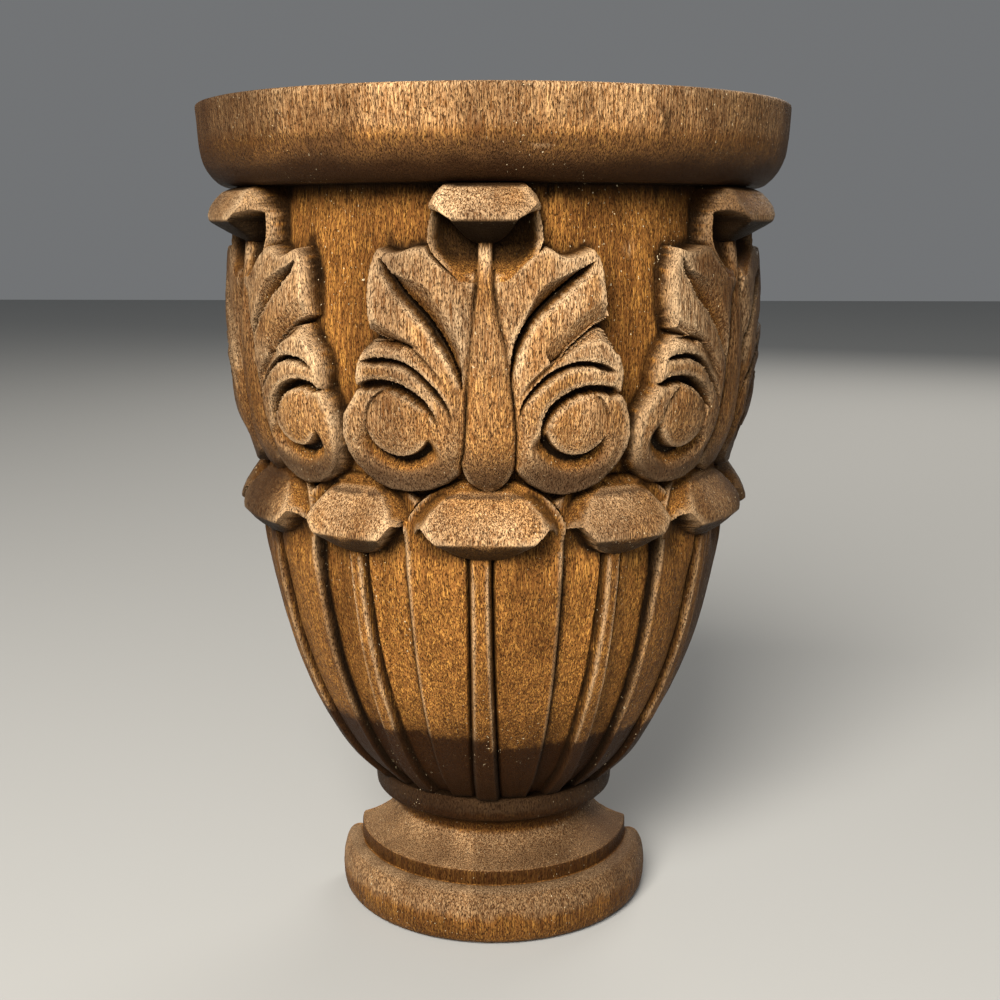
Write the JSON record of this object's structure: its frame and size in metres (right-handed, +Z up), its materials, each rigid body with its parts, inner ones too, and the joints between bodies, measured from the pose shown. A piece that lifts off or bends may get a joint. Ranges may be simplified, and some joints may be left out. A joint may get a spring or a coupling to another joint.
{
  "type": "carved wooden corbel bracket",
  "caption": "Half-round carved hardwood wall bracket with a moulded rim, scrolled leaves, ribbed petals and a turned foot, fixed by its flat back to carry a shelf or beam.",
  "frame": {"origin": "middle of the flat back, on the axis of the half-round body, halfway up", "axes": "+Z up, +Y out of the flat back into the wall, the carved front faces -Y, +X to the right seen from the front"},
  "size_m": [0.145, 0.0725, 0.203],
  "materials": {
    "waxed_hardwood": "open-grained brown hardwood with a worn satin wax finish, paler where the carving was sanded"
  },
  "bodies": {
    "root": {"corbel": "waxed_hardwood"}
  },
  "joints": []
}
